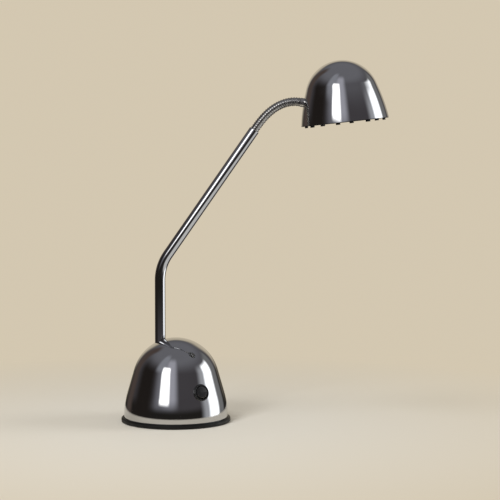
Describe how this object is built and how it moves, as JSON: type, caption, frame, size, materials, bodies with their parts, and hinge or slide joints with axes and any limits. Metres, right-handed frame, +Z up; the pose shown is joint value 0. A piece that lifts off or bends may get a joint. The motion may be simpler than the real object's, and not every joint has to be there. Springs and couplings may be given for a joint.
{
  "type": "gooseneck desk lamp",
  "caption": "Desk lamp with a weighted chrome dome base, a swivelling bent tube arm, a ridged flexible neck and a small chrome bell shade with a glazed mouth.",
  "frame": {"origin": "centre of the foot ring on the plane the lamp stands on", "axes": "+Z up, +X the way the arm leans, towards the shade; the switch is on the -Y side"},
  "size_m": [0.3565, 0.146, 0.4822],
  "materials": {
    "chrome": "polished",
    "matt_metal": "dull wound metal",
    "zinc_steel": "zinc plated",
    "black_rubber": "matt",
    "black_plastic": "satin",
    "cast_ballast": "as cast",
    "core_steel": "varnished laminations",
    "winding": "enamelled copper",
    "pale_plastic": "moulded",
    "bearing_plastic": "moulded",
    "brass": "plain",
    "lead_jacket": "matt",
    "reflector_metal": "bright anodised",
    "ceramic": "glazed ceramic",
    "clear_glass": "clear",
    "front_glass": "finely frosted",
    "tungsten": "wire"
  },
  "bodies": {
    "base": {"base_dome": "chrome", "foot_ring": "black_rubber", "base_plate": "zinc_steel", "ballast": "cast_ballast", "ballast_screws": "zinc_steel", "dome_brackets": "zinc_steel", "dome_screws": "zinc_steel", "transformer_core": "core_steel", "coil_former": "pale_plastic", "primary_coil": "winding", "secondary_coil": "winding", "transformer_strap": "zinc_steel", "strap_screws": "zinc_steel", "terminal_block": "pale_plastic", "terminal_tubes": "brass", "terminal_screws": "zinc_steel", "switch_body": "black_plastic", "switch_terminals": "brass", "cord_gland": "black_plastic", "gland_nut": "black_plastic", "bearing_sleeve": "bearing_plastic", "thrust_washer": "bearing_plastic"},
    "rocker": {"switch_rocker": "black_plastic"},
    "arm": {"arm_tube": "chrome", "foot_collar": "zinc_steel", "stop_pin": "zinc_steel", "arm_lead": "lead_jacket", "neck_plug": "zinc_steel", "neck_link_1": "matt_metal"},
    "neck_2": {"neck_link_2": "matt_metal"},
    "neck_3": {"neck_link_3": "matt_metal"},
    "neck_4": {"neck_link_4": "matt_metal"},
    "neck_5": {"neck_link_5": "matt_metal"},
    "neck_6": {"neck_link_6": "matt_metal"},
    "neck_7": {"neck_link_7": "matt_metal"},
    "neck_8": {"neck_link_8": "matt_metal"},
    "neck_9": {"neck_link_9": "matt_metal"},
    "neck_10": {"neck_link_10": "matt_metal"},
    "neck_11": {"neck_link_11": "matt_metal"},
    "shade": {"neck_link_12": "matt_metal", "neck_ferrule": "matt_metal", "ferrule_washer": "zinc_steel", "ferrule_nut": "zinc_steel", "shade_shell": "chrome", "reflector": "reflector_metal", "lamp_socket": "ceramic", "socket_bracket": "zinc_steel", "socket_screws": "zinc_steel", "capsule_glass": "clear_glass", "capsule_filament": "tungsten", "capsule_pins": "zinc_steel", "front_glass": "front_glass", "glass_ring": "black_plastic"}
  },
  "joints": [
    {"name": "rocker_tilt", "type": "hinge", "parent": "base", "child": "rocker", "pos_m": [0.03468, -0.05141, 0.04567], "axis": [0.829, 0.5592, 0], "range_deg": [0, 18]},
    {"name": "arm_swivel", "type": "hinge", "parent": "base", "child": "arm", "pos_m": [-0.0208, 0, 0.05], "axis": [0, 0, 1], "range_deg": [-90, 90]},
    {"name": "neck_bend_1", "type": "hinge", "parent": "arm", "child": "neck_2", "pos_m": [0.10877, 0, 0.39493], "axis": [0, 1, 0], "range_deg": [-9, 5]},
    {"name": "neck_side_1", "type": "hinge", "parent": "neck_2", "child": "neck_3", "pos_m": [0.11251, 0, 0.39993], "axis": [-0.7893, 0, 0.614], "range_deg": [-8, 8]},
    {"name": "neck_bend_2", "type": "hinge", "parent": "neck_3", "child": "neck_4", "pos_m": [0.11648, 0, 0.40476], "axis": [0, 1, 0], "range_deg": [-9, 5]},
    {"name": "neck_bend_3", "type": "hinge", "parent": "neck_4", "child": "neck_5", "pos_m": [0.12073, 0, 0.40934], "axis": [0, 1, 0], "range_deg": [-9, 5]},
    {"name": "neck_side_2", "type": "hinge", "parent": "neck_5", "child": "neck_6", "pos_m": [0.12531, 0, 0.4136], "axis": [-0.6507, 0, 0.7593], "range_deg": [-8, 8]},
    {"name": "neck_bend_4", "type": "hinge", "parent": "neck_6", "child": "neck_7", "pos_m": [0.13024, 0, 0.41744], "axis": [0, 1, 0], "range_deg": [-9, 5]},
    {"name": "neck_bend_5", "type": "hinge", "parent": "neck_7", "child": "neck_8", "pos_m": [0.13552, 0, 0.42078], "axis": [0, 1, 0], "range_deg": [-9, 5]},
    {"name": "neck_side_3", "type": "hinge", "parent": "neck_8", "child": "neck_9", "pos_m": [0.14114, 0, 0.42352], "axis": [-0.3863, 0, 0.9224], "range_deg": [-8, 8]},
    {"name": "neck_bend_6", "type": "hinge", "parent": "neck_9", "child": "neck_10", "pos_m": [0.14704, 0, 0.42557], "axis": [0, 1, 0], "range_deg": [-9, 5]},
    {"name": "neck_bend_7", "type": "hinge", "parent": "neck_10", "child": "neck_11", "pos_m": [0.15316, 0, 0.42683], "axis": [0, 1, 0], "range_deg": [-9, 5]},
    {"name": "neck_side_4", "type": "hinge", "parent": "neck_11", "child": "shade", "pos_m": [0.1594, 0, 0.42722], "axis": [0.0105, 0, 0.9999], "range_deg": [-8, 8]}
  ]
}
